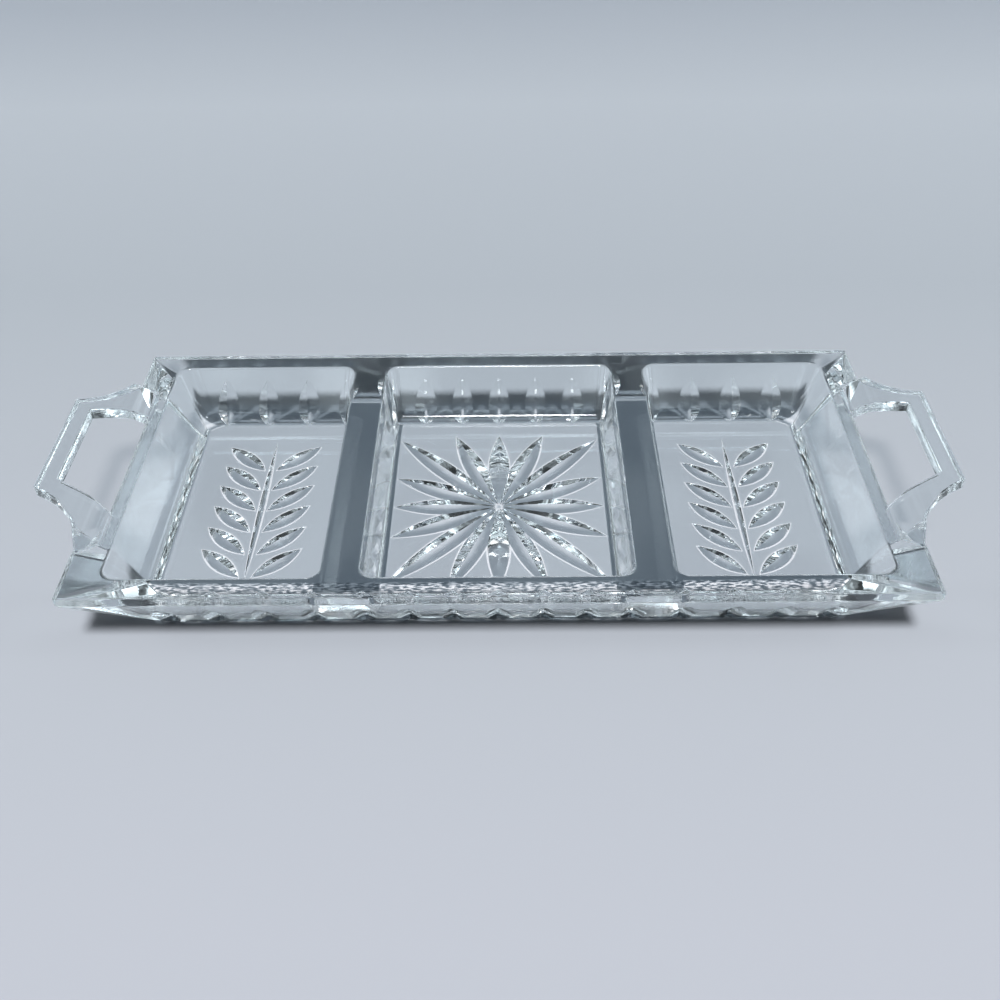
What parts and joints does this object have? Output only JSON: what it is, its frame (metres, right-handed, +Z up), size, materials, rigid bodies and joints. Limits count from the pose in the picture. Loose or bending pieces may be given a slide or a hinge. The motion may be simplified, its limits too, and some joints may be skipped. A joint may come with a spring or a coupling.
{
  "type": "relish tray",
  "caption": "Long divided serving tray in clear pressed and cut glass, with a flat rim, corner ears, raised open handles at both ends and a cut star under the middle compartment.",
  "frame": {"origin": "under the middle of the base, on the surface that the tray stands on", "axes": "+X runs along the tray towards the right handle, +Y runs across it to the back, +Z is up"},
  "size_m": [0.341, 0.146, 0.0413],
  "materials": {
    "clear_glass": "clear fire-polished crystal with polished cuts"
  },
  "bodies": {
    "root": {"left_floor": "clear_glass", "centre_floor": "clear_glass", "right_floor": "clear_glass", "front_wall": "clear_glass", "back_wall": "clear_glass", "left_end_wall": "clear_glass", "right_end_wall": "clear_glass", "left_divider": "clear_glass", "right_divider": "clear_glass", "front_left_corner": "clear_glass", "front_right_corner": "clear_glass", "back_left_corner": "clear_glass", "back_right_corner": "clear_glass", "left_handle": "clear_glass", "right_handle": "clear_glass"}
  },
  "joints": []
}
